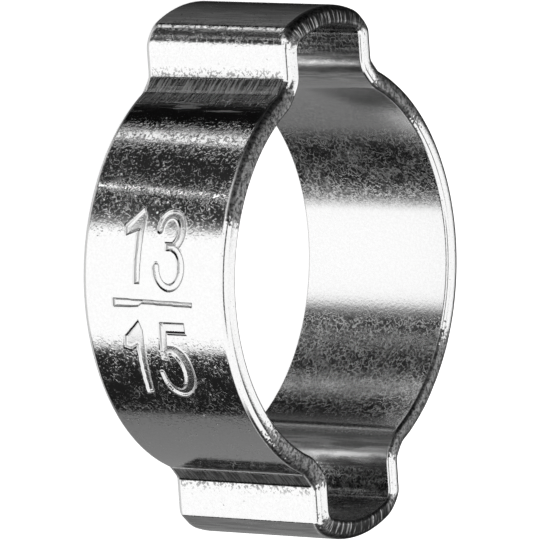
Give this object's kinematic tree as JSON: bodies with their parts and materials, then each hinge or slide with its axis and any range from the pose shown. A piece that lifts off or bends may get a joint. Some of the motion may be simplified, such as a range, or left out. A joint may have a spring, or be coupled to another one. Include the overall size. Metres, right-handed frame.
{
  "type": "ear hose clamp",
  "caption": "Ear hose clamp: a steel ring with hollow raised ears on opposite sides, pinched shut with pincers to tighten it round a hose end.",
  "frame": {"origin": "on the lower rim's plane, at the middle of the ring", "axes": "+Z along the hose, out of the upper rim; the ears point along -X and +X; the size numerals face -Y"},
  "size_m": [0.0214, 0.0166, 0.0069],
  "materials": {
    "zinc_plated_steel": "bright zinc plating with a fine frosted grain, over formed strip steel"
  },
  "bodies": {
    "root": {"clamp_band": "zinc_plated_steel"}
  },
  "joints": []
}
